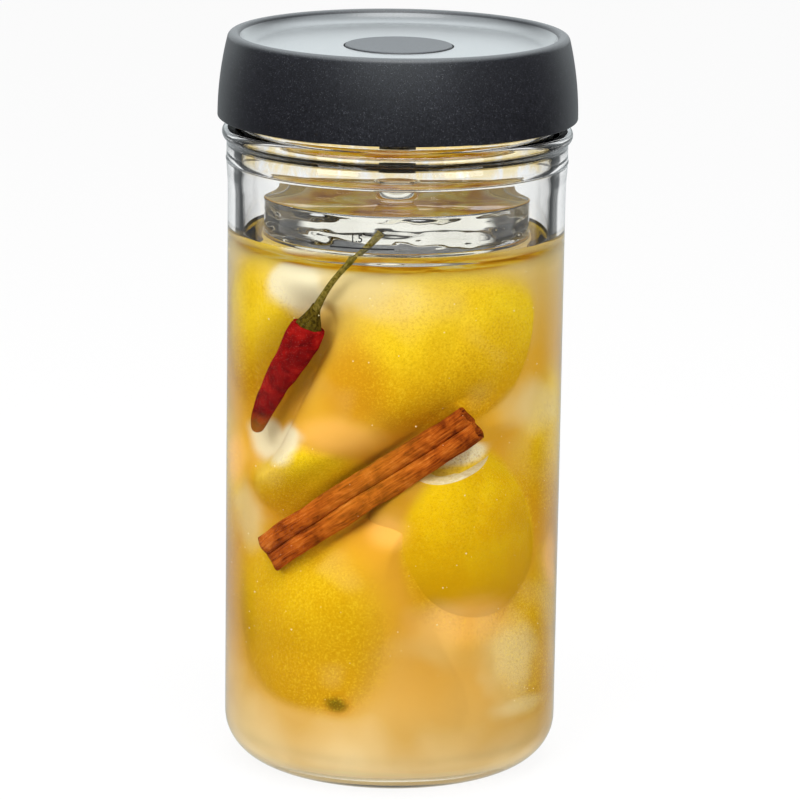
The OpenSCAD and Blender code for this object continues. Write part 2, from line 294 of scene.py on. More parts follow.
def share(tree, kind):
    """How strongly a kind of patch shows at this point, as mark() or shroud() wrote it."""
    return add(tree, "Attribute", attribute_name=kind).outputs["Fac"]


def material(name):
    """A new material, its nodes and the position in the row frame, in millimetres."""
    made = bpy.data.materials.new(name)
    made.use_nodes = True
    tree = made.node_tree
    tree.nodes.clear()
    return made, tree, scaled(tree, add(tree, "TexCoord").outputs["Object"], 1 / MM)


def surface(tree, ins):
    """A Principled shader on the output."""
    shader = add(tree, "BsdfPrincipled", ins)
    add(tree, "OutputMaterial", {"Surface": shader.outputs[0]})


def moulded(name, dark, light, rough, speck, coat=0.0):
    """Dark moulded plastic with a fine spark-eroded grain and pale specks."""
    made, tree, where = material(name)
    fine = grain(tree, where, 0.4, 3.0, 0.65)
    base = blend(tree, span(tree, fine, 0.38, 0.66), dark, light)
    flake = span(tree, cells(tree, where, 0.42), 0.12, 0.24, 1.0, 0.0)
    chance = span(tree, grain(tree, where, 0.7, 1.0), 0.44, 0.6)
    base = blend(tree, times(tree, flake, times(tree, chance, speck)), base, srgb(150, 153, 160))
    base = blend(tree, span(tree, grain(tree, where, 22.0), 0.35, 0.7, 0.0, 0.25), base, dark)
    surface(tree, {
        "Base Color": base,
        "Roughness": calc(tree, "ADD", rough - 0.08, times(tree, fine, 0.16)),
        "IOR": 1.52,
        "Coat Weight": coat,
        "Coat Roughness": 0.28,
        "Coat IOR": 1.6,
        "Normal": bump(tree, fine, 0.05, 0.6)})
    return made


def rubber(name, colour):
    """Matt silicone."""
    made, tree, where = material(name)
    fine = grain(tree, where, 0.8, 3.0)
    tone = [c * 0.86 for c in colour[:3]] + [1.0]
    surface(tree, {
        "Base Color": blend(tree, span(tree, fine, 0.3, 0.7), colour, tone),
        "Roughness": span(tree, fine, 0.3, 0.7, 0.48, 0.62),
        "Normal": bump(tree, fine, 0.02, 0.5)})
    return made


def glass(name, tint, ior, shine=1.0, piped_amber=None):
    """Clear glass or liquid. shine is 0 where two clear pieces touch, which reflects next to nothing.
    The last argument is an amber colour that the glass takes in uneven streaks at the height of the bead: painted
    light, the amber that the glass wall pipes up from the filling."""
    made, tree, where = material(name)
    pale = [min(1.0, c * 1.004) for c in tint[:3]] + [1.0]
    base = blend(tree, grain(tree, where, 9.0, 3.0), tint, pale)
    if piped_amber:
        # Painted light: amber streaks at the bead's height stand in for the amber light that the glass wall pipes
        # up from the filling
        amber_streaks = grain(tree, vcalc(tree, "MULTIPLY", where, (1.0, 1.0, 0.5)), 7.0, 3.0, 0.6, 0.5)
        high = span(tree, parts(tree, where)["Z"], 205.0, 212.0)
        base = blend(tree, times(tree, span(tree, amber_streaks, 0.32, 0.54), high), base, piped_amber)
    shader = add(tree, "BsdfPrincipled", {
        "Base Color": base,
        "Roughness": 0.0,
        "IOR": ior,
        "Specular Tint": (shine, shine, shine, 1.0),
        "Transmission Weight": 1.0})
    # Shadow rays pass straight on, so that the lamps light what lies behind
    shadow = add(tree, "LightPath").outputs["Is Shadow Ray"]
    clear = add(tree, "BsdfTransparent")
    both = add(tree, "MixShader", {0: shadow, 1: shader.outputs[0], 2: clear.outputs[0]})
    add(tree, "OutputMaterial", {"Surface": both.outputs[0]})
    return made


def unseen(name):
    """For faces that light passes as if they weren't there."""
    made, tree = material(name)[:2]
    clear = add(tree, "BsdfTransparent")
    add(tree, "OutputMaterial", {"Surface": clear.outputs[0]})
    return made


def steel(name):
    """Drawn wire."""
    made, tree, where = material(name)
    drawn = grain(tree, where, 0.25, 4.0, 0.7)
    surface(tree, {
        "Base Color": blend(tree, drawn, srgb(176, 176, 180), srgb(214, 214, 216)),
        "Metallic": 1.0,
        "Roughness": span(tree, drawn, 0.3, 0.7, 0.2, 0.34),
        "Normal": bump(tree, drawn, 0.01, 0.5)})
    return made


def cloud_colour(tree, where):
    """Colour of the cloudy brine: cream at the floor, amber in the middle, paler under the weight, with the
    fruit and the patches that mark() wrote, and slices of fruit on top."""
    height = parts(tree, where)["Z"]
    drift = calc(tree, "SUBTRACT", grain(tree, where, 38.0, 2.0, 0.5, 0.4), 0.5)
    level = calc(tree, "ADD", calc(tree, "DIVIDE", height, 190.0), times(tree, drift, 0.22))
    base = ramp(tree, level, [
        (0.02, (240, 214, 164)), (0.14, (214, 172, 96)), (0.32, (212, 156, 52)),
        (0.52, (224, 164, 44)), (0.76, (224, 172, 54)), (0.93, (216, 190, 126))])

    def lay(kind, weight, colour):
        return blend(tree, times(tree, share(tree, kind), weight), base, colour)

    ripe = span(tree, grain(tree, where, 20.0), 0.3, 0.7)
    fruit = blend(tree, ripe, srgb(228, 188, 14), srgb(242, 210, 28))
    # Painted shade: the fruit is darker on its underside and darker lower down in the jar
    fruit = blend(tree, share(tree, "under"), fruit, srgb(212, 152, 6))
    fruit = blend(tree, span(tree, height, 30.0, 140.0, 0.85, 0.0), fruit, srgb(200, 150, 2))
    base = lay("fruit", 0.94, fruit)
    base = lay("shade", 0.6, srgb(198, 132, 12))
    base = lay("glow", 0.85, srgb(250, 190, 96))
    base = lay("stem", 0.85, srgb(86, 78, 12))
    milk = span(tree, grain(tree, vcalc(tree, "ADD", where, (71.0, 13.0, 37.0)), 26.0, 1.0), 0.56, 0.76)
    base = blend(tree, times(tree, milk, 0.25), base, srgb(240, 212, 152))
    base = lay("pale", 0.6, srgb(234, 218, 170))
    base = lay("pith", 0.92, srgb(240, 232, 206))
    slices = ramp(tree, grain(tree, where, 15.0, 3.0, 0.55, 0.6), [
        (0.3, (168, 98, 6)), (0.46, (226, 160, 24)), (0.6, (246, 206, 60)), (0.74, (244, 226, 160))])
    inside = span(tree, vcalc(tree, "LENGTH", off_axis(tree, where)), 36.0, 42.0, 1.0, 0.0)
    on_top = span(tree, height, CORE_TOP - 2.0, CORE_TOP - 0.6)
    return blend(tree, times(tree, inside, on_top), base, slices)


def in_brine(tree, where, colour, normal, r_hidden, r_clear, rough=0.9):
    """A surface in cloudy brine: the deeper it lies from the glass, the more the cloud hides it."""
    outward = off_axis(tree, where)
    seen = span(tree, vcalc(tree, "LENGTH", outward), r_hidden, r_clear)
    seen = times(tree, seen, calc(tree, "SUBTRACT", 1.0, share(tree, "veil")))
    surface(tree, {
        "Base Color": blend(tree, seen, cloud_colour(tree, where), colour),
        "Roughness": rough,
        "Specular IOR Level": 0.0,
        "Normal": turned(tree, seen, vcalc(tree, "NORMALIZE", outward), normal)})


def cloud(name):
    """The edge of the cloudy brine, with the pores of the fruit where it comes close to the glass. Its foot is
    shaded as an upright wall and glows a little, for light that is scattered in the brine."""
    made, tree, where = material(name)
    height = parts(tree, where)["Z"]
    clear, fruit = share(tree, "clear"), share(tree, "fruit")
    pores = cells(tree, where, 1.0)
    fine = grain(tree, where, 0.75, 3.0, 0.6)
    tone = cloud_colour(tree, where)
    for kind, spots, colour in (
            (clear, span(tree, pores, 0.1, 0.5, 0.55, 0.0), srgb(188, 134, 4)),
            (fruit, span(tree, fine, 0.5, 0.68, 0.0, 0.3), srgb(186, 130, 2)),
            (fruit, span(tree, fine, 0.32, 0.5, 0.3, 0.0), srgb(250, 222, 60))):
        tone = blend(tree, times(tree, kind, spots), tone, colour)
    rough = bump(tree, pores, 0.3, times(tree, clear, 0.5))
    outward = vcalc(tree, "NORMALIZE", off_axis(tree, where))
    surface(tree, {
        "Base Color": tone,
        "Roughness": 1.0,
        "Specular IOR Level": 0.0,
        "Emission Color": blend(tree, span(tree, height, 6.3, 13.0), tone, (0.0, 0.0, 0.0, 1.0)),
        "Emission Strength": 0.55,
        "Normal": turned(tree, span(tree, height, 12.0, 34.0, 0.9, 0.0), rough, outward)})
    return made


def lemon_skin(name):
    made, tree, where = material(name)
    pores = cells(tree, where, 0.95)
    fine = grain(tree, where, 0.8, 3.0, 0.6)
    tone = ramp(tree, grain(tree, where, 16.0, 3.0, 0.55), [
        (0.25, (208, 160, 4)), (0.45, (228, 184, 8)), (0.62, (240, 206, 20)), (0.8, (226, 190, 16))])
    tone = blend(tree, span(tree, pores, 0.1, 0.5, 0.4, 0.0), tone, srgb(192, 138, 4))
    tone = blend(tree, span(tree, fine, 0.5, 0.68, 0.0, 0.55), tone, srgb(244, 214, 66))
    shade = span(tree, parts(tree, where)["Z"], 60.0, 125.0, 0.75, 0.2)
    tone = blend(tree, shade, tone, srgb(204, 152, 4))
    in_brine(tree, where, tone, bump(tree, pores, 0.35, 0.55), 38.5, 45.0)
    return made


def lemon_pith(name):
    made, tree, where = material(name)
    fibre = grain(tree, where, 1.6, 4.0, 0.65)
    tone = blend(tree, span(tree, fibre, 0.3, 0.7), srgb(238, 230, 204), srgb(222, 206, 160))
    in_brine(tree, where, tone, bump(tree, fibre, 0.4, 0.5), 32.0, 43.0)
    return made


def lemon_flesh(name):
    made, tree, where = material(name)
    vesicle = cells(tree, where, 3.2)
    tone = blend(tree, span(tree, vesicle, 0.1, 0.5), srgb(226, 208, 122), srgb(214, 178, 84))
    in_brine(tree, where, tone, bump(tree, vesicle, 0.8, 0.5), 32.0, 43.0)
    return made


def chilli_skin(name):
    made, tree, where = material(name)
    blotch = grain(tree, where, 5.0, 4.0, 0.6, 0.8)
    tone = ramp(tree, blotch, [
        (0.28, (74, 8, 10)), (0.45, (116, 13, 14)), (0.6, (150, 20, 18)), (0.78, (184, 44, 36))])
    glint = span(tree, grain(tree, where, 0.6, 3.0), 0.6, 0.8, 0.0, 0.35)
    tone = blend(tree, glint, tone, srgb(214, 110, 96))
    in_brine(tree, where, tone, bump(tree, blotch, 0.5, 0.6), 26.0, 43.0, 0.5)
    return made


def stalk_skin(name, dark, light):
    made, tree, where = material(name)
    rib = grain(tree, where, 1.1, 4.0, 0.6)
    tone = blend(tree, span(tree, rib, 0.35, 0.65), dark, light)
    in_brine(tree, where, tone, bump(tree, rib, 0.3, 0.7), 26.0, 43.0, 0.6)
    return made


def bark(name, along):
    """Cinnamon bark with its fibres along one direction."""
    made, tree, where = material(name)
    squeeze = times(tree, vcalc(tree, "DOT_PRODUCT", where, along), -0.93)
    stretched = vcalc(tree, "ADD", where, scaled(tree, tuple(along), squeeze))
    fibre = grain(tree, stretched, 0.55, 5.0, 0.65)
    blotch = grain(tree, where, 7.0, 4.0, 0.6, 0.6)
    both = calc(tree, "ADD", times(tree, fibre, 0.5), times(tree, blotch, 0.5))
    tone = ramp(tree, both, [
        (0.37, (82, 32, 10)), (0.46, (148, 68, 20)), (0.55, (188, 96, 28)), (0.67, (218, 138, 62))])
    in_brine(tree, where, tone, bump(tree, fibre, 0.6, 0.8), 18.0, 44.0, 0.8)
    return made


def ink(name):
    made, tree, where = material(name)
    fine = grain(tree, where, 0.3, 3.0)
    surface(tree, {
        "Base Color": blend(tree, fine, srgb(18, 18, 19), srgb(34, 34, 35)),
        "Roughness": 0.55})
    return made


M = {
    "cover": moulded("cover_plastic", srgb(8, 8, 12), srgb(34, 35, 42), 0.4, 0.55),
    "panel": moulded("panel_plastic", srgb(30, 32, 35), srgb(50, 52, 56), 0.3, 0.2, 0.8),
    "inner": moulded("inner_plastic", srgb(24, 25, 27), srgb(40, 41, 44), 0.46, 0.1),
    "button": moulded("button_plastic", srgb(26, 28, 32), srgb(52, 54, 59), 0.5, 0.5),
    "silicone": rubber("silicone", srgb(196, 199, 200)),
    "jar": glass("jar_glass", JAR_TINT, GLASS_IOR),
    "weight": glass("weight_glass", WEIGHT_TINT, GLASS_IOR),
    "wet_weight": glass("wet_weight_glass", WEIGHT_TINT, GLASS_IOR / BRINE_IOR),
    "unseen": unseen("unseen_face"),
    "wet": glass("wet_glass", JAR_TINT, GLASS_IOR, 0.0),
    # Painted light: the inner glass above the brine takes amber streaks at the bead's height, for light piped up
    # from the filling
    "piped_amber": glass("piped_amber_glass", JAR_TINT, GLASS_IOR, piped_amber=(0.985, 0.76, 0.32, 1.0)),
    "brine": glass("brine_liquid", (1.0, 0.95, 0.78, 1.0), BRINE_IOR, 0.0),
    # Painted reflection: the gas bubbles are matt and pale, which stands in for the light that their surfaces
    # reflect
    "gas": rubber("gas_bubble", srgb(252, 236, 190)),
    "steel": steel("spring_steel"),
    "cloud": cloud("brine_cloud"),
    "skin": lemon_skin("lemon_skin"),
    "pith": lemon_pith("lemon_pith"),
    "flesh": lemon_flesh("lemon_flesh"),
    "chilli": chilli_skin("chilli_skin"),
    "stalk": stalk_skin("chilli_stalk", srgb(84, 76, 22), srgb(138, 122, 58)),
    "calyx": stalk_skin("chilli_calyx", srgb(50, 42, 8), srgb(96, 80, 24)),
    "ink": ink("fill_ink"),
}


def dress(obj, body, mats, nodes=()):
    """Gives a piece its materials and its body, and hides the CAD nodes that it stands for."""
    for name in [mats] if isinstance(mats, str) else mats:
        obj.data.materials.append(M[name])
    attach(obj, body)
    if nodes:
        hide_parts(*nodes)
    return obj


def repaint(obj, index, test):
    """Gives another of the piece's materials to the faces that test(radius, height) picks."""
    for face in obj.data.polygons:
        x, y, z = face.center / MM
        if test(math.hypot(x, y), z):
            face.material_index = index


# The glass jar

def ridge(z, angle, start, height):
    """Height of a thread's ridge at a place on a wall, faded out at both ends."""
    best = 0.0
    for turn in range(int(THREAD_TURNS) + 1):
        along = turn + angle / (2 * math.pi)
        if along > THREAD_TURNS:
            continue
        off = abs(z - start - along * THREAD_PITCH) / THREAD_HALF
        if off < 1:
            fade = clamp(min(along, THREAD_TURNS - along) / THREAD_FADE)
            best = max(best, height * fade * min(1.0, 1.5 * soft(1 - off)))
    return best


def jar_form(r, z, a):
    """The thread on the neck, and walls that are slightly wavy inside and outside."""
    x, y = r * math.cos(a), r * math.sin(a)
    if z > BEAD_Z + BEAD_R + NECK_FILLET and r > NECK_R - 0.01:
        return r + ridge(z, a, THREAD_Z, THREAD_OUT), z
    if r <= BORE_R + 0.01 and FLOOR_T + 1 < z < JAR_H - 8:
        return r + 0.16 * wave(x, y, 0.45 * z, 26.0, 3.0), z
    if r > 40 and 12 < z < RING_Z - FADE_H:
        return r - 0.05 + 0.05 * wave(x, y, 0.4 * z, 34.0, 8.0), z
    return r, z


bead_a = math.degrees(math.acos((COLLAR_R - BEAD_X) / BEAD_R))
bead_top = BEAD_Z + BEAD_R
underside = [(r * (STAND_R - STAND_W) / 14, PUNT_H * (1 - (r / 14) ** 2)) for r in range(15)]
outside = link(
    underside, 1,
    arc(STAND_R, FOOT_R, FOOT_R, -90, 0, 26), 64,
    radius_step((JAR_R, RING_Z - FADE_H), (COLLAR_R, RING_Z - 2 * RING_OUT), 14), 1,
    arc(COLLAR_R, RING_Z, RING_OUT, -60, 60, 8), 1,
    run((COLLAR_R, RING_Z + 2 * RING_OUT), (COLLAR_R, BEAD_Z - BEAD_R), 4), 1,
    arc(BEAD_X, BEAD_Z, BEAD_R, -bead_a, 90, 30), 1,
    arc(NECK_R + NECK_FILLET, bead_top + NECK_FILLET, NECK_FILLET, -90, -180, 8), 60,
    arc(NECK_R - RIM_EDGE_R, JAR_H - RIM_EDGE_R, RIM_EDGE_R, 0, 90, 10))
inside = link(
    arc(MOUTH_R + RIM_EDGE_R, JAR_H - RIM_EDGE_R, RIM_EDGE_R, 90, 180, 10), 6,
    radius_step((MOUTH_R, THROAT_Z), (BORE_R, THROAT_Z - THROAT_H), 32), 64,
    arc(BORE_R - INNER_FOOT_R, FLOOR_T + INNER_FOOT_R, INNER_FOOT_R, 0, -90, 20), 12, [(0, FLOOR_T)])
jar = dress(lathe("jar_body", outside + inside, form=jar_form), "jar", ["jar", "wet", "piped_amber"],
            ["glass_jar"])
repaint(jar, 1, lambda r, z: r < BORE_R + 0.4 and FLOOR_T - 0.2 < z < BRINE_Z)
repaint(jar, 2, lambda r, z: r < BORE_R + 0.4 and BRINE_Z <= z < JAR_H - 4)


# The pressed-glass weight

def weight_form(r, z, a):
    """A wavy side, and faces that are slightly uneven outside the knob."""
    x, y = r * math.cos(a), r * math.sin(a)
    side = clamp((r - 42.0) / 2.0)
    shift = 0.16 * wave(x, y, 3.0 * z, 14.0, 5.0) + 0.07 * wave(x, y, 2.6 * z, 5.0, 9.0)
    level = 0.10 * wave(x, y, z, 11.0, 2.0) * clamp((r - 8.0) / 8.0)
    return r + side * (shift - 0.2), z + (1 - side) * level


weight = link(
    [(0, WEIGHT_Z0)], 20,
    arc(WEIGHT_R - WEIGHT_FOOT, WEIGHT_Z0 + WEIGHT_FOOT, WEIGHT_FOOT, -90, 0, 12), 24,
    arc(WEIGHT_R - WEIGHT_EDGE, WEIGHT_Z1 - WEIGHT_EDGE, WEIGHT_EDGE, 0, 90, 8), 24,
    arc(WAIST_R + KNOB_FILLET, WEIGHT_Z1 + KNOB_FILLET, KNOB_FILLET, -90, -180, 8), 1,
    arc(KNOB_R - HEAD_R, KNOB_Z1 - HEAD_R, HEAD_R, -60, 90, 16), 4, [(0, KNOB_Z1)])
disc = dress(lathe("weight_body", weight, form=weight_form), "weight", ["weight", "wet_weight"],
             ["glass_weight"])
repaint(disc, 1, lambda r, z: z < BRINE_Z + 0.6)


# The lid

rim_a = math.degrees(math.asin((RIM_Z - RIM_ROUND - COVER_Z0) / (CROWN_R - RIM_ROUND)))
skirt_a = math.degrees(math.asin((PLATE_Z1 - COVER_Z0) / (CROWN_R - COVER_WALL)))
lip_a = math.degrees(math.asin(COVER_LIP / (CROWN_R - COVER_WALL)))
edge = COVER_LIP / 2
cover = link(
    [(INSERT_IN_R, COVER_Z0)], 1,
    arc(CROWN_X + CROWN_R - edge, COVER_Z0 + edge, edge, -90, 0, 8), 1,
    arc(CROWN_X, COVER_Z0, CROWN_R, math.degrees(math.asin(2 * edge / CROWN_R)), rim_a, 48), 1,
    arc(RIM_X, RIM_Z - RIM_ROUND, RIM_ROUND, rim_a, 90, 16)[1:], 1,
    arc(RIM_X - RIM_FLAT, RIM_Z - RIM_INNER_R, RIM_INNER_R, 90, 90 + RIM_TURN, 14), 1,
    arc(PANEL_R, PANEL_Z1 + RIM_HOLLOW_R, RIM_HOLLOW_R, RIM_TURN - 90, -90, 18)[1:], 12,
    arc(HOLE_R + HOLE_EDGE, PANEL_Z1 - HOLE_EDGE, HOLE_EDGE, 90, 180, 5) + [(HOLE_R, PLATE_Z1)], 1,
    arc(CROWN_X, COVER_Z0, CROWN_R - COVER_WALL, skirt_a, lip_a, 24), 1, [(INSERT_IN_R, COVER_Z0 + COVER_LIP)])
shell = dress(lathe("cover_shell", cover, closed=True, crease=50), "lid", ["cover", "panel"],
              ["lid_cover"])
repaint(shell, 1, lambda r, z: z > PANEL_Z1 - 0.05 and r < RIM_X - 2.2)


def cap_form(r, z, a):
    """The thread inside the cap."""
    if abs(r - INSERT_IN_R) < 0.01 and INSERT_Z0 < z < PLATE_Z0:
        return r - ridge(z, a, THREAD_Z + THREAD_PITCH / 2, THREAD_IN), z
    return r, z


cap = link(
    [(INSERT_IN_R, PLATE_Z0)], 60,
    [(INSERT_IN_R, INSERT_Z0), (INSERT_OUT_R, INSERT_Z0), (INSERT_OUT_R, PLATE_Z1 - SHOULDER),
     (INSERT_OUT_R - SHOULDER, PLATE_Z1), (WELL_IN_R, PLATE_Z1), (WELL_IN_R, WELL_Z1), (TUBE_HOLE_R, WELL_Z1),
     (TUBE_HOLE_R, WELL_Z0)], 1,
    arc(WELL_OUT_R - WELL_EDGE, WELL_Z0 + WELL_EDGE, WELL_EDGE, -90, 0, 6), 1,
    [(WELL_OUT_R, PLATE_Z0), (RIB_OUT_R - RIB_T, PLATE_Z0)], 1,
    arc(RIB_OUT_R - RIB_T / 2, PLATE_Z0 - RIB_H + RIB_T / 2, RIB_T / 2, -180, 0, 8), 1, [(RIB_OUT_R, PLATE_Z0)])
dress(lathe("inner_cap", cap, closed=True, form=cap_form, crease=40), "lid", "inner",
      ["screw_insert"])

seal_out, seal_in = SEAL_R1 - SEAL_EDGE, SEAL_R0 + SEAL_EDGE
seal_low, seal_high = SEAL_Z0 + SEAL_EDGE, SEAL_Z1 - SEAL_EDGE
seal = []
for r, z, a in ((seal_out, seal_low, -90), (seal_out, seal_high, 0), (seal_in, seal_high, 90),
                (seal_in, seal_low, 180)):
    seal += arc(r, z, SEAL_EDGE, a, a + 90, 5)
dress(lathe("seal_ring", seal, closed=True, crease=60), "seal", "silicone", ["lid_seal"])

button = link(
    [(0, BUTTON_Z1)], 10,
    arc(BUTTON_R - BUTTON_EDGE, BUTTON_Z1 - BUTTON_EDGE, BUTTON_EDGE, 90, 0, 8), 1,
    [(BUTTON_R, BUTTON_Z0), (SKIRT_OUT_R, BUTTON_Z0), (SKIRT_OUT_R, BUTTON_Z0 - SKIRT_H),
     (SKIRT_IN_R, BUTTON_Z0 - SKIRT_H), (SKIRT_IN_R, BUTTON_Z0), (BOSS_R, BUTTON_Z0),
     (BOSS_R, BOSS_Z0 + BOSS_EDGE), (BOSS_R - BOSS_EDGE, BOSS_Z0), (BOSS_BORE_R, BOSS_Z0),
     (BOSS_BORE_R, BUTTON_Z0), (0, BUTTON_Z0)])
cap_top = dress(lathe("button_disc", button, crease=40), "button", ["button", "inner"],
                ["valve_button"])
repaint(cap_top, 1, lambda r, z: z < BUTTON_Z1 - 0.3)


def coil(name):
    """The spring: round wire wound up between the flange and the button."""
    steps, around = int(SPRING_TURNS * 40), 12
    verts = []
    for i in range(steps + 1):
        t = i / steps
        rise = SPRING_Z0 + (SPRING_Z1 - SPRING_Z0) * t
        a = 2 * math.pi * SPRING_TURNS * t
        out, up = Vector((math.cos(a), math.sin(a), 0)), Vector((0, 0, 1))
        middle = out * SPRING_R + up * rise
        for k in range(around):
            b = 2 * math.pi * k / around
            verts.append((middle + (out * math.cos(b) + up * math.sin(b)) * WIRE_R) * MM)
    return new_object(name, verts, tube_faces(steps + 1, around), 60)


spring = dress(coil("coil_spring"), "lid", "steel", ["valve_spring"])
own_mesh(spring)

for node, name in {"valve_housing": "inner", "housing_nut": "inner", "valve_stem": "inner",
                   "housing_gasket": "silicone", "valve_plug": "silicone"}.items():
    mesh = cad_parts[node].data
    mesh.materials.clear()
    mesh.materials.append(M[name])


# The fill mark: a short line and a plain number on the front of the glass

def fill_mark(name):
    """Flat points (across, height) in millimetres, laid on the front of the jar."""
    curve = bpy.data.curves.new("fill_number", "FONT")
    curve.body, curve.align_x = "1.5", "CENTER"
    curve.size, curve.offset = NUMBER_SIZE, INK_SPREAD
    text = bpy.data.objects.new("fill_number", curve)
    scene.collection.objects.link(text)
    bpy.context.view_layer.update()
    flat = text.evaluated_get(bpy.context.evaluated_depsgraph_get()).to_mesh()
    points = [(v.co.x + NUMBER_X, v.co.y + NUMBER_Z) for v in flat.vertices]
    faces = [list(p.vertices) for p in flat.polygons]
    bpy.data.objects.remove(text)
    base = len(points)
    for i in range(LINE_CUTS + 1):
        x = LINE_X0 + LINE_LENGTH * i / LINE_CUTS
        points += [(x, LINE_Z0), (x, LINE_Z1)]
    for k in range(base, base + 2 * LINE_CUTS, 2):
        faces.append([k, k + 2, k + 3, k + 1])
    r = JAR_R + INK_LIFT
    laid = [(r * math.sin(x / r) * MM, -r * math.cos(x / r) * MM, z * MM) for x, z in points]
    return new_object(name, laid, faces)


dress(fill_mark("fill_mark"), "jar", "ink")


# The filling that the photograph shows, in separate pieces that can be left out

# A lemon's outline: (share of the length from the stem end, share of the half width)
LEMON = [(0, 0), (0.008, 0.09), (0.03, 0.2), (0.07, 0.41), (0.15, 0.66), (0.28, 0.89), (0.45, 1.0), (0.62, 0.93),
         (0.76, 0.73), (0.86, 0.48), (0.92, 0.33), (0.955, 0.24), (0.98, 0.165), (0.994, 0.08), (1.0, 0)]
PITH_T, PITH_SUNK, FLESH_STEP, FLESH_SUNK = 5.2, 0.5, 0.6, 1.4

# Fruit behind the cloud's edge: (angle, height, half width, half height, lean), then how soft its edge is
# to the right, upwards, to the left and downwards
FRUIT = [
    ((23, 152, 27, 33, 66), (0.1, 0.8, 1.1, 0.15)),
    ((39, 84, 25, 33, -6), (0.15, 0.2, 0.15, 0.9)),
    ((-40, 55, 27, 31, 143), (0.75, 0.9, 0.9, 0.25)),
    ((-70, 152, 20, 27, 10), (0.6, 0.8, 0.6, 0.7)),
    ((-42, 103, 20, 14, -10), (0.7, 0.5, 0.6, 0.7)),
    ((92, 108, 23, 28, -12), (0.6, 0.8, 0.7, 0.8)),
    ((78, 46, 23, 28, 3), (0.6, 0.8, 0.6, 0.5)),
    ((140, 148, 25, 29, -30), (0.15, 0.7, 0.6, 0.3)),
    ((-152, 143, 25, 30, -17), (0.6, 0.4, 0.2, 0.8)),
    ((172, 84, 25, 30, 53), (0.2, 0.3, 0.5, 0.9)),
    ((-112, 92, 24, 30, 12), (0.7, 0.8, 0.5, 0.6)),
    ((128, 47, 24, 28, 30), (0.4, 0.7, 0.3, 0.6)),
    ((-142, 42, 24, 29, 37), (0.5, 0.6, 0.3, 0.7)),
]
# Other soft patches: how soft, how uneven, then (angle, height, half width, half height, lean) of each
PATCHES = {
    "shade": (1.1, 0.0, [(-17, 141, 9, 14, 0), (14, 124, 15, 6, 0), (30, 60, 14, 5, 0), (-20, 30.5, 4, 3.5, 0),
                         (-150, 112, 16, 8, 0)]),
    "glow": (1.2, 0.0, [(-1, 90, 7, 5, 0), (34, 58, 14, 8, 0), (88, 70, 6, 9, 0), (-24, 122, 12, 6, 0),
                        (-86, 105, 6, 8, 0), (150, 112, 12, 8, 0), (-170, 40, 10, 9, 0)]),
    "pale": (1.3, 0.3, [(-23, 173.5, 20, 8, 4), (68, 129, 12, 8, 14), (55, 42, 8, 13, 10), (58, 25.5, 9, 3, 4),
                        (-74, 88, 6, 10, 0), (-128, 168, 12, 7, 0), (168, 118, 14, 7, 0)]),
    "pith": (0.6, 0.25, [(-45, 171.5, 9.5, 10, -35), (-68, 115, 8.5, 7, 20), (-53, 116, 10, 6.5, -14),
                         (30, 115.5, 11, 4.0, -9)]),
    "stem": (1.1, 0.3, [(-20.5, 30.8, 3.0, 2.4, 20)]),
}
# Where the cloud's edge makes room for the near lemon, as in PATCHES
ROOM = (0.7, 0.0, 38, 91, 25, 36, -6)
# Radius at which an angle on the cloud's edge is turned into a length
EDGE_R = 41.0


def wall_point(angle, r, z):
    """A point in the jar: angle from the front towards the right in degrees, radius and height."""
    a = math.radians(angle)
    return Vector((r * math.sin(a), -r * math.cos(a), z))


def lean(angle, across, outward, up):
    """A direction at that angle: to the right, outwards and up."""
    a = math.radians(angle)
    side, out = Vector((math.cos(a), math.sin(a), 0)), Vector((math.sin(a), -math.cos(a), 0))
    return side * across + out * outward + Vector((0, 0, 1)) * up


def smooth_points(points, n):
    """Points of a smooth curve through the given ones."""
    out = []
    for i in range(len(points) - 1):
        a, b, c, d = (Vector(points[clamp(i + k, 0, len(points) - 1)]) for k in (-1, 0, 1, 2))
        for s in range(n):
            t = s / n
            bend = (2 * a - 5 * b + 4 * c - d) * t * t + (3 * b - a - 3 * c + d) * t ** 3
            out.append(tuple(0.5 * (2 * b + (c - a) * t + bend)))
    return out + [tuple(points[-1])]


def wall_path(points, n):
    """A smooth path through points that are given as for wall_point()."""
    return [Vector(p) for p in smooth_points([tuple(wall_point(*p)) for p in points], n)]


def slice_off(mesh, centre, depth, direction):
    """Takes the end of a lemon off and leaves a pith ring round sunk flesh."""
    bm = bmesh.new()
    bm.from_mesh(mesh)
    geom = bm.verts[:] + bm.edges[:] + bm.faces[:]
    plane = centre + direction * depth
    bmesh.ops.bisect_plane(bm, geom=geom, plane_co=plane, plane_no=direction, clear_outer=True)
    rim = [e for e in bm.edges if e.is_boundary]
    face = bmesh.ops.contextual_create(bm, geom=rim)["faces"]
    ring = bmesh.ops.inset_region(bm, faces=face, thickness=PITH_T * MM, depth=-PITH_SUNK * MM)["faces"]
    for faces, index in ((ring, 1), (face, 2)):
        for f in faces:
            f.material_index = index
    bmesh.ops.inset_region(bm, faces=face, thickness=FLESH_STEP * MM, depth=-FLESH_SUNK * MM)
    bmesh.ops.recalc_face_normals(bm, faces=bm.faces)
    bm.to_mesh(mesh)
    bm.free()
    mesh.set_sharp_from_angle(angle=math.radians(50))


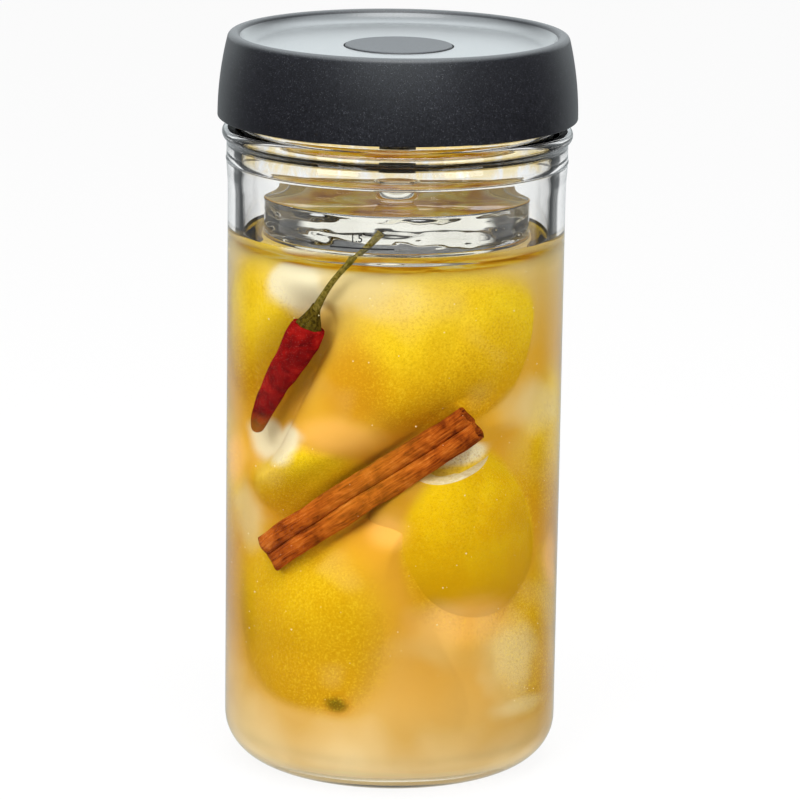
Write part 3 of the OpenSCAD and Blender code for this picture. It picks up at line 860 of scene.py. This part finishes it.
def lemon(name, centre, axis, length, width, seed, cut):
    """A lemon with its nipple along axis. cut is (distance from the centre, direction) of a slice taken off."""
    profile = [(max(0.0, r) * width / 2, (u - 0.48) * length) for u, r in smooth_points(LEMON, 4)]

    def lumps(r, z, a):
        x, y = r * math.cos(a), r * math.sin(a)
        fine = 0.12 * wave(x, y, z, 3.2, seed) * min(1, r / 4)
        return r * (1 + 0.035 * wave(x, y, z, 17.0, seed)) + fine, z

    obj = lathe(name, profile, 72, form=lumps)
    turn = Vector((0, 0, 1)).rotation_difference(axis.normalized()).to_matrix().to_4x4()
    obj.data.transform(Matrix.Translation(centre * MM) @ turn)
    slice_off(obj.data, centre * MM, cut[0] * MM, cut[1].normalized())
    mark(obj)
    return dress(obj, "jar", ["skin", "pith", "flesh"])


def oval(angle, z, at, height, wide, high, tilt):
    """A place on the cloud's edge as seen from an oval: across, up and how far out, with 1 at its outline."""
    u = math.radians((angle - at + 180) % 360 - 180) * EDGE_R
    v = z - height
    c, s = math.cos(math.radians(tilt)), math.sin(math.radians(tilt))
    along = (u * s + v * c) / high
    half = wide * (1 - 0.28 * clamp(along) ** 2)
    return u, v, math.hypot((u * c - v * s) / half, along)


def patch(angle, z, blur, rough, *spot):
    """Share of a soft patch on the cloud's edge. rough makes its outline uneven."""
    u, v, far = oval(angle, z, *spot)
    if far > 2:
        return 0.0
    far += rough * (wave(u, v, spot[0], 8.0, 3.0) + 0.4 * wave(u, v, spot[0], 3.5, 7.0))
    return soft(0.5 + (1.0 - far) / blur)


def fruit_at(angle, z):
    """What the fruit behind the cloud's edge does at a place: its share, its shaded underside, how clearly
    it shows and how far it bulges."""
    shown = under = clear = bulge = 0.0
    for spot, edges in FRUIT:
        u, v, far = oval(angle, z, *spot)
        if far > 1.7:
            continue
        size = max(0.01, math.hypot(u, v))
        blur = sum(soft_edge * max(0.0, d / size) ** 2 for soft_edge, d in zip(edges, (u, v, -u, -v)))
        here = soft(0.5 + (1.0 - far) / blur)
        bulge = max(bulge, max(0.0, 1.0 - far * far) ** (0.5 + 0.8 * blur))
        if here > shown:
            shown, clear = here, here * max(0.0, 1.0 - blur / 0.7)
            under = soft(0.3 - 0.75 * v / spot[3])
    return shown, under, clear, bulge


def mark(obj):
    """Writes how strongly each kind of colour shows at each point of a piece in the brine."""
    data = obj.data
    kinds = ["fruit", "under", "clear"] + list(PATCHES)
    values = {kind: [] for kind in kinds}
    for vert in data.vertices:
        x, y, z = vert.co / MM
        angle = math.degrees(math.atan2(x, -y))
        for kind, value in zip(kinds[:3], fruit_at(angle, z)):
            values[kind].append(value)
        for kind, (blur, rough, spots) in PATCHES.items():
            values[kind].append(max(patch(angle, z, blur, rough, *spot) for spot in spots))
    for kind in kinds:
        data.attributes.new(kind, "FLOAT", "POINT").data.foreach_set("value", values[kind])


def shroud(obj, height, half, level, up):
    """Writes how far the cloud veils each point of a piece: level at a height, changed by up a half above it."""
    veil = obj.data.attributes.new("veil", "FLOAT", "POINT").data
    for vert, value in zip(obj.data.vertices, veil):
        value.value = clamp(level + up * (vert.co.z / MM - height) / half, 0.0, 0.95)


def tube(name, path, radii, around, form):
    """A closed round body along a path of points in millimetres. form(point, share of the path, angle)
    shifts a point outwards."""
    verts = []
    for i, (p, r) in enumerate(zip(path, radii)):
        ahead = (path[min(i + 1, len(path) - 1)] - path[max(i - 1, 0)]).normalized()
        side = ahead.cross(Vector((0, 0, 1))).normalized()
        up = side.cross(ahead)
        for k in range(around):
            b = 2 * math.pi * k / around
            q = p + (side * math.cos(b) + up * math.sin(b)) * r
            q += (q - p).normalized() * form(q, i / (len(path) - 1), b)
            verts.append(q * MM)
    return new_object(name, verts, tube_faces(len(path), around), 60)


# The lemon that lies against the glass, with its top sliced off
NEAR = (39.5, 24.0, 81)
near_lemon = lemon("filling_lemon", wall_point(*NEAR), lean(NEAR[0], -0.1, 0.24, 0.96), 84, 52, 2.0,
                   (32.0, lean(NEAR[0], -0.36, 0.3, 0.88)))
shroud(near_lemon, NEAR[2], 26.0, 0.24, -0.95)

# The chilli: (angle, radius, height) along its axis from the tip up to the calyx, then the stalk
pod = wall_path([(-67.0, 44.2, 118.0), (-66, 44.4, 120), (-61.5, 44.6, 126), (-54.5, 44.7, 135),
                 (-47.5, 44.8, 143), (-41, 44.8, 151), (-37, 44.8, 156.5), (-36, 44.8, 158.5)], 8)
pod_r = [5.9 * min(1.0, 0.03 + i / 44) ** 0.55 * (1 - 0.12 * max(0.0, (i - 44) / 12))
         for i in range(len(pod))]
chilli = tube("filling_chilli", pod, pod_r, 40, lambda q, t, b: 0.45 * wave(q.x, q.y, q.z, 6.0, 4.0))
dress(chilli, "jar", "chilli")
shroud(chilli, pod[0].z, 18.0, 0.35, -0.8)
calyx = wall_path([(-37.6, 44.8, 155.2), (-36.2, 44.9, 158.0), (-34.6, 45.0, 161.0), (-33.2, 45.2, 163.8),
                   (-32.0, 45.4, 166.0)], 6)
calyx_r = [5.2 - 3.7 * soft(i / (len(calyx) - 1)) ** 0.8 for i in range(len(calyx))]
dress(tube("filling_calyx", calyx, calyx_r, 40, lambda q, t, b: 0.35 * math.cos(6 * b) * (1 - t)),
      "jar", "calyx")
stalk = wall_path([(-33.4, 45.2, 163.0), (-29.5, 46.4, 168.5), (-24, 48.0, 175.0), (-17.5, 49.2, 181.5),
                   (-10.5, 49.6, 187.6), (-5.6, 49.6, 192.4)], 8)
stalk_r = [1.4 - 0.5 * soft(i / 16) + 0.4 * max(0.0, (i - 30) / 10) for i in range(len(stalk))]
dress(tube("filling_stalk", stalk, stalk_r, 24, lambda q, t, b: 0.1 * math.cos(5 * b)), "jar", "stalk")

# The cinnamon quill: one sheet of bark rolled in from both sides
QUILL_FROM, QUILL_TO = Vector((-38.6, -27.6, 77.6)), Vector((24.6, -40.2, 127.2))
ROLL_R, ROLL_IN, BARK_T = 3.0, 1.9, 0.9


def quill(name):
    along = (QUILL_TO - QUILL_FROM).normalized()
    out = (QUILL_FROM + QUILL_TO) * 0.5
    out.z = 0
    out = (out - along * out.dot(along)).normalized()
    across = out.cross(along).normalized()
    half = []
    for i in range(46):
        t = i / 45
        a = math.radians(-152 + 520 * t)
        r = ROLL_R - ROLL_IN * max(0.0, (t - 0.55) / 0.45)
        half.append((ROLL_R + r * math.cos(a), r * math.sin(a)))
    section = [(-x, y) for x, y in reversed(half)] + half
    length, rows = (QUILL_TO - QUILL_FROM).length, 60
    verts, faces = [], []
    for i in range(rows + 1):
        s = length * i / rows
        bend = 0.9 * math.sin(math.pi * i / rows) + 0.35 * wave(s, 0, 0, 14.0, 8.0)
        for k, (x, y) in enumerate(section):
            end = 0.9 * wave(k * 0.8, 0, i // (rows // 2) * 40.0, 5.0, 6.0) if i in (0, rows) else 0
            shift = 0.8 * wave(s * 0.4, 0.5 * k, 0, 5.0, 2.0) + 0.3 * wave(s, 0.9 * k, 0, 3.0, 4.0)
            p = QUILL_FROM + along * (s + end)
            p = p + across * (x * (1 + 0.13 * shift) + bend) + out * (y + 0.5 * shift)
            verts.append(p * MM)
    n = len(section)
    for i in range(rows):
        for k in range(n - 1):
            faces.append([i * n + k, i * n + k + 1, (i + 1) * n + k + 1, (i + 1) * n + k])
    obj = new_object(name, verts, faces)
    thick = obj.modifiers.new("bark", "SOLIDIFY")
    thick.thickness, thick.offset = BARK_T * MM, 0.0
    M["bark"] = bark("cinnamon_bark", along)
    return dress(obj, "jar", "bark")


quill("filling_cinnamon")


def hollow(here, start, end, depth, wide):
    """How far the cloud's edge sinks at a point near a line, so that what lies along the line shows."""
    line = end - start
    near = start + line * clamp((here - start).dot(line) / line.length_squared)
    turn = math.atan2(here.x, -here.y) - math.atan2(near.x, -near.y)
    turn = (turn + math.pi) % (2 * math.pi) - math.pi
    off = math.hypot(turn * 42, here.z - near.z)
    sink = max(0.0, CORE_R - math.hypot(near.x, near.y) + depth)
    return sink * min(1.0, 1.5 * math.exp(-(off / wide) ** 2))


def core_form(r, z, a):
    """The cloud's edge: it bulges with the fruit and sinks round the near lemon, the quill and the chilli."""
    if r < 1:
        return r, z
    x, y = r * math.cos(a), r * math.sin(a)
    angle = math.degrees(math.atan2(x, -y))
    here = Vector((x, y, z))
    dent = max(hollow(here, QUILL_FROM, QUILL_TO, 6.0, 12.0), hollow(here, pod[0], pod[-1], 8.0, 9.0),
               hollow(here, stalk[0], stalk[16], 5.0, 4.0), SINK * patch(angle, z, *ROOM))
    rise = BULGE * fruit_at(angle, z)[3] * max(0.0, 1.0 - dent / 6.0) * soft((z - 14) / 26)
    ripple = 0.4 * wave(x, y, z, 40.0, 1.0)
    return max(4.0, r + (rise - dent) * min(1.0, r / CORE_R) + ripple), z


corner_r, corner_z = BORE_R - INNER_FOOT_R, FLOOR_T + INNER_FOOT_R
core = link(
    [(0, FLOOR_T + CORE_GAP)], 10,
    arc(corner_r, corner_z, INNER_FOOT_R - CORE_GAP, -90, 0, 14), 1,
    radius_step((BORE_R - CORE_GAP, corner_z), (CORE_R, CORE_LOW), 24)[1:], 120,
    arc(CORE_R - CORE_EDGE, CORE_TOP - CORE_EDGE, CORE_EDGE, 0, 90, 8), 10, [(0, CORE_TOP)])
mark(dress(lathe("filling_cloud", core, 288, form=core_form), "jar", "cloud"))

# The brine reaches a little way into the glass round it, so that no film of air lies between them. It creeps
# up the glass and the weight, and its hollow for the weight isn't seen.
OVER, SUNK, CREEP, CREEP_UP, CREEP_WEIGHT, CREEP_WEIGHT_UP = 0.35, 0.8, 2.2, 1.1, 1.8, 0.9
brine = link(
    [(0, FLOOR_T - OVER)], 10,
    arc(corner_r, corner_z, INNER_FOOT_R + OVER, -90, 0, 18), 60,
    [(BORE_R + OVER, BRINE_Z + 1.2)], 1,
    [(BORE_R - 0.1 - CREEP * t, BRINE_Z + CREEP_UP * (1 - t) ** 2.2) for t in (0.0, 0.15, 0.3, 0.5, 0.75, 1.0)], 6,
    [(WEIGHT_R + CREEP_WEIGHT - (CREEP_WEIGHT + SUNK) * t, BRINE_Z + CREEP_WEIGHT_UP * t ** 2.2)
     for t in (0.0, 0.25, 0.5, 0.7, 0.85, 1.0)], 6,
    arc(WEIGHT_R - WEIGHT_FOOT, WEIGHT_Z0 + WEIGHT_FOOT, WEIGHT_FOOT - SUNK, 0, -90, 12), 14,
    [(0, WEIGHT_Z0 + SUNK)])
liquid = dress(lathe("filling_brine", brine), "jar", ["brine", "unseen"])
repaint(liquid, 1, lambda r, z: z > WEIGHT_Z0 and r < WEIGHT_R - SUNK + 0.05)


def bubbles(name, count):
    """Small gas bubbles that cling to the inside of the glass below the brine."""
    chance = random.Random(7)
    rings, around = 5, 8
    verts, faces = [], []
    for _ in range(count):
        angle, z = chance.uniform(-180, 180), FLOOR_T + 16 + (BRINE_Z - FLOOR_T - 22) * chance.random()
        size = 0.11 + 0.17 * chance.random() ** 3
        centre = wall_point(angle, BORE_R - 0.35 - size, z)
        base = len(verts)
        verts += [(centre + Vector((0, 0, -size))) * MM, (centre + Vector((0, 0, size))) * MM]
        for i in range(1, rings):
            tilt = math.pi * (i / rings - 0.5)
            for k in range(around):
                a = 2 * math.pi * k / around
                way = Vector((math.cos(tilt) * math.cos(a), math.cos(tilt) * math.sin(a), math.sin(tilt)))
                verts.append((centre + way * size) * MM)
        last = base + 2 + (rings - 2) * around
        for k in range(around):
            n = (k + 1) % around
            faces.append([base, base + 2 + n, base + 2 + k])
            faces.append([base + 1, last + k, last + n])
            for i in range(rings - 2):
                row = base + 2 + i * around
                faces.append([row + k, row + n, row + around + n, row + around + k])
    return new_object(name, verts, faces)


# Painted reflection: the bubbles' pale matt colour stands in for the light that their surfaces reflect
dress(bubbles("filling_bubbles", 300), "jar", "gas")


# Floor, light and camera

def studio_floor():
    """A pale floor that is nearly white to the camera."""
    half, drop = 4.0, -0.0002
    corners = [(-half, -half, drop), (half, -half, drop), (half, half, drop), (-half, half, drop)]
    floor = new_object("studio_floor", corners, [[0, 1, 2, 3]])
    made, tree = material("pale_floor")[:2]
    matt = add(tree, "BsdfDiffuse", {"Color": (0.86, 0.86, 0.86, 1.0)})
    white = add(tree, "Emission", {"Color": (1.0, 1.0, 1.0, 1.0), "Strength": 1.0})
    bright = times(tree, add(tree, "LightPath").outputs["Is Camera Ray"], 0.85)
    both = add(tree, "MixShader", {0: bright, 1: matt.outputs[0], 2: white.outputs[0]})
    add(tree, "OutputMaterial", {"Surface": both.outputs[0]})
    floor.data.materials.append(made)
    floor.visible_glossy = False
    floor.visible_transmission = False


def studio_world():
    """White to the camera. Glass looks through at white panels with grey between them, which draws its edges.
    Gloss shows a bright back, a soft box in front and a bright zenith. Plain light is a fill that is stronger
    from behind, and the filling gets a weaker one through the glass."""
    world = bpy.data.worlds.new("studio")
    scene.world = world
    world.use_nodes = True
    tree = world.node_tree
    tree.nodes.clear()
    way = parts(tree, add(tree, "TexCoord").outputs["Generated"])
    path = add(tree, "LightPath").outputs
    turn = calc(tree, "ARCTAN2", way["X"], way["Y"])
    away = calc(tree, "ABSOLUTE", turn)

    panel = span(tree, calc(tree, "COSINE", times(tree, turn, 4.0)), -0.5, -0.12, 0.03, 1.0)
    panel = times(tree, panel, span(tree, way["Z"], 0.02, 0.14, 1.0, 0.14))

    back = span(tree, away, math.radians(38), math.radians(66), 1.0, 0.0)
    behind = span(tree, way["Z"], -0.05, 0.12, 0.55, 1.6)
    box_high = times(tree, span(tree, way["Z"], 0.2, 0.34), span(tree, way["Z"], 0.5, 0.6, 1.0, 0.0))
    box = times(tree, span(tree, away, math.radians(140), math.radians(158)), box_high)
    front = calc(tree, "ADD", span(tree, way["Z"], 0.05, 0.4, 0.03, 0.3), times(tree, box, 2.8))
    zenith = span(tree, way["Z"], 0.5, 0.85, 0.0, 3.0)
    gloss = calc(tree, "ADD", mix(tree, back, front, behind), zenith)

    fill = span(tree, way["Y"], 0.0, 0.8, 0.55, 1.5)
    inner_fill = span(tree, way["Y"], 0.0, 0.8, 0.37, 1.1)
    lit = calc(tree, "GREATER_THAN", path["Diffuse Depth"], 0.5)
    level = mix(tree, path["Is Glossy Ray"], fill, gloss)
    # A ray through clear glass counts as glossy too, so this comes second
    level = mix(tree, path["Is Transmission Ray"], level, mix(tree, lit, panel, inner_fill))
    level = mix(tree, path["Is Camera Ray"], level, 1.0)
    cool = calc(tree, "SUBTRACT", path["Is Glossy Ray"], path["Is Transmission Ray"], limit=True)
    tint = blend(tree, cool, (1.0, 1.0, 1.0, 1.0), (0.9, 0.975, 1.0, 1.0))
    sky = add(tree, "Background", {"Color": tint, "Strength": level})
    add(tree, "OutputWorld", {"Surface": sky.outputs[0]})


def soft_box(name, spot, aim, size, power, gloss):
    """A square lamp at spot that points at aim, in metres and watts."""
    data = bpy.data.lights.new(name, "AREA")
    data.shape, data.size, data.energy = "SQUARE", size, power
    lamp = bpy.data.objects.new(name, data)
    lamp.location = spot
    lamp.rotation_euler = (Vector(aim) - Vector(spot)).to_track_quat("-Z", "Y").to_euler()
    lamp.visible_glossy = gloss
    scene.collection.objects.link(lamp)


studio_floor()
studio_world()
soft_box("key_left", (-0.9, -1.0, 0.75), (0, 0, 0.12), 0.8, 9.2, False)
soft_box("key_right", (1.0, -0.9, 0.7), (0, 0, 0.12), 0.8, 8.0, False)
soft_box("top", (0.0, -0.35, 1.15), (0, 0, 0.2), 0.7, 6.0, True)

# The camera as fitted to the photograph: place in metres, degrees down and roll in radians
CAMERA_AT, CAMERA_DOWN, CAMERA_ROLL = (0.0, -1.4615, 0.4725), 13.40, 0.0142
camera_data = bpy.data.cameras.new("camera")
camera_data.sensor_width, camera_data.lens, camera_data.shift_x = 36.0, 198.2, 0.0078
camera = bpy.data.objects.new("camera", camera_data)
tip = Matrix.Rotation(math.radians(90 - CAMERA_DOWN), 4, "X")
camera.matrix_world = Matrix.Translation(CAMERA_AT) @ tip @ Matrix.Rotation(CAMERA_ROLL, 4, "Z")
scene.collection.objects.link(camera)
scene.camera = camera
